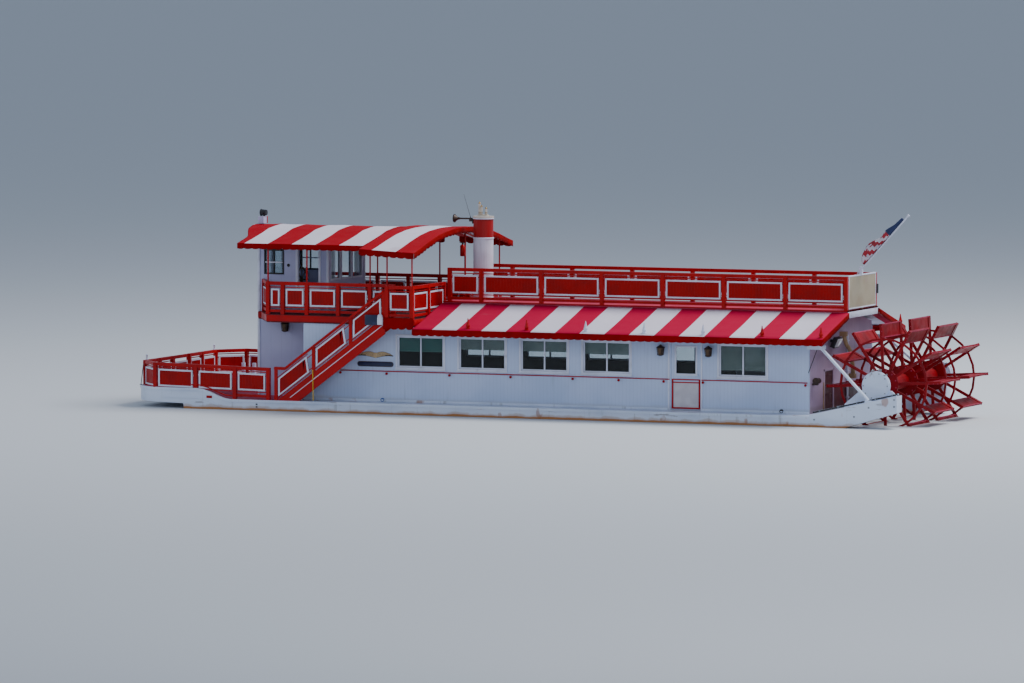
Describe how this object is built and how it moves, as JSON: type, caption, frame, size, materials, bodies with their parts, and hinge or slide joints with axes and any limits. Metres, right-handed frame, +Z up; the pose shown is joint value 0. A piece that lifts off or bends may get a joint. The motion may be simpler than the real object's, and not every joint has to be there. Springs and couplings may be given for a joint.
{
  "type": "sternwheel paddle boat",
  "caption": "Flat-hulled excursion boat with a paddle wheel at the stern, a long saloon under striped awnings, railed upper decks, a canopied pilothouse and a stack.",
  "frame": {"origin": "under the middle of the boat, on the plane of its flat bottom", "axes": "+X to the bow, +Y to port, +Z up"},
  "size_m": [22.6328, 7, 6.4809],
  "materials": {
    "hull_paint": "gloss white marine paint, rust at the waterline",
    "house_paint": "satin white paint on grooved boarding",
    "blush_paint": "satin off-white paint with a pink cast",
    "red_paint": "gloss red paint",
    "awning_canvas": "striped red and white canvas",
    "deck_paint": "matt deck paint",
    "seal_tan": "matt tan",
    "board_beige": "satin beige board",
    "dark_fitting": "satin black",
    "machine_grey": "satin grey",
    "brass": "weathered brass",
    "ensign_cloth": "red, white and blue cloth"
  },
  "bodies": {
    "boat": {"hull": "hull_paint", "wheel_beam_port": "hull_paint", "wheel_beam_starboard": "hull_paint", "drive_housing_port": "hull_paint", "drive_housing_starboard": "hull_paint", "cabin_side_port": "house_paint", "cabin_side_starboard": "house_paint", "cabin_front": "house_paint", "cabin_aft": "blush_paint", "fore_house_side_port": "blush_paint", "fore_house_side_starboard": "blush_paint", "fore_house_front": "house_paint", "fore_deck": "deck_paint", "cabin_roof": "house_paint", "aft_deck": "deck_paint", "pilothouse_side_port": "blush_paint", "pilothouse_side_starboard": "blush_paint", "pilothouse_front": "house_paint", "pilothouse_aft": "blush_paint", "pilothouse_roof": "house_paint", "canopy_fore": "awning_canvas", "canopy_aft": "awning_canvas", "canopy_frame_fore": "red_paint", "canopy_frame_aft": "red_paint", "awning_port": "awning_canvas", "awning_starboard": "awning_canvas", "awning_frame_port": "red_paint", "awning_frame_starboard": "red_paint", "fore_rail_port": "red_paint", "fore_rail_starboard": "red_paint", "landing_rail_port": "red_paint", "landing_rail_starboard": "red_paint", "aft_rail_port": "red_paint", "aft_rail_starboard": "red_paint", "stern_board": "board_beige", "bow_rail_port": "red_paint", "bow_rail_starboard": "red_paint", "stairs_port": "red_paint", "stairs_starboard": "red_paint", "stack": "house_paint", "stack_cap": "brass", "horn": "brass", "light_box": "blush_paint", "flagstaff": "house_paint", "flag": "ensign_cloth", "power_pack": "machine_grey", "exhaust_pipe": "seal_tan"},
    "paddle_wheel": {"wheel_shaft": "red_paint", "wheel_section_port": "red_paint", "wheel_section_starboard": "red_paint"},
    "rudder_port_body": {"rudder_port": "dark_fitting"},
    "rudder_starboard_body": {"rudder_starboard": "dark_fitting"},
    "cabin_door_port_body": {"cabin_door_port": "house_paint"},
    "cabin_door_starboard_body": {"cabin_door_starboard": "house_paint"},
    "fore_house_door_body": {"fore_house_door": "house_paint"},
    "pilothouse_door_port_body": {"pilothouse_door_port": "house_paint"},
    "pilothouse_door_starboard_body": {"pilothouse_door_starboard": "house_paint"},
    "stern_hatch_body": {"stern_hatch": "seal_tan"},
    "bow_gate_body": {"bow_gate": "red_paint"},
    "searchlight_body": {"searchlight": "dark_fitting"}
  },
  "joints": [
    {"name": "wheel_turn", "type": "hinge", "parent": "boat", "child": "paddle_wheel", "pos_m": [-9.735, 0, 1.83], "axis": [0, 1, 0], "continuous": true},
    {"name": "rudder_port_turn", "type": "hinge", "parent": "boat", "child": "rudder_port_body", "pos_m": [-7.45, 1.2, 0.6], "axis": [0, 0, 1], "range_deg": [-35, 35]},
    {"name": "rudder_starboard_turn", "type": "hinge", "parent": "boat", "child": "rudder_starboard_body", "pos_m": [-7.45, -1.2, 0.6], "axis": [0, 0, 1], "range_deg": [-35, 35]},
    {"name": "cabin_door_port_swing", "type": "hinge", "parent": "boat", "child": "cabin_door_port_body", "pos_m": [-4.026, 2.446, 2], "axis": [0, 0, -1], "range_deg": [0, 90]},
    {"name": "cabin_door_starboard_swing", "type": "hinge", "parent": "boat", "child": "cabin_door_starboard_body", "pos_m": [-4.026, -2.446, 2], "axis": [0, 0, 1], "range_deg": [0, 90]},
    {"name": "fore_house_door_swing", "type": "hinge", "parent": "boat", "child": "fore_house_door_body", "pos_m": [8.282, 0.394, 2], "axis": [0, 0, -1], "range_deg": [0, 90]},
    {"name": "pilothouse_door_port_swing", "type": "hinge", "parent": "boat", "child": "pilothouse_door_port_body", "pos_m": [7.164, 1.246, 3.6], "axis": [0, 0, -1], "range_deg": [0, 90]},
    {"name": "pilothouse_door_starboard_swing", "type": "hinge", "parent": "boat", "child": "pilothouse_door_starboard_body", "pos_m": [7.164, -1.246, 3.6], "axis": [0, 0, 1], "range_deg": [0, 90]},
    {"name": "stern_hatch_swing", "type": "hinge", "parent": "boat", "child": "stern_hatch_body", "pos_m": [-7.82, 1.264, 1.6], "axis": [0, 0, 1], "range_deg": [0, 90]},
    {"name": "bow_gate_swing", "type": "hinge", "parent": "boat", "child": "bow_gate_body", "pos_m": [11.18, 0.43, 1.6], "axis": [0, 0, -1], "range_deg": [0, 90]},
    {"name": "searchlight_pan", "type": "hinge", "parent": "boat", "child": "searchlight_body", "pos_m": [8.705, 0, 5.87], "axis": [0, 0, 1], "range_deg": [-170, 170]}
  ],
  "couplings": [
    {"joint": "rudder_starboard_turn", "follows": "rudder_port_turn", "ratio": 1}
  ]
}
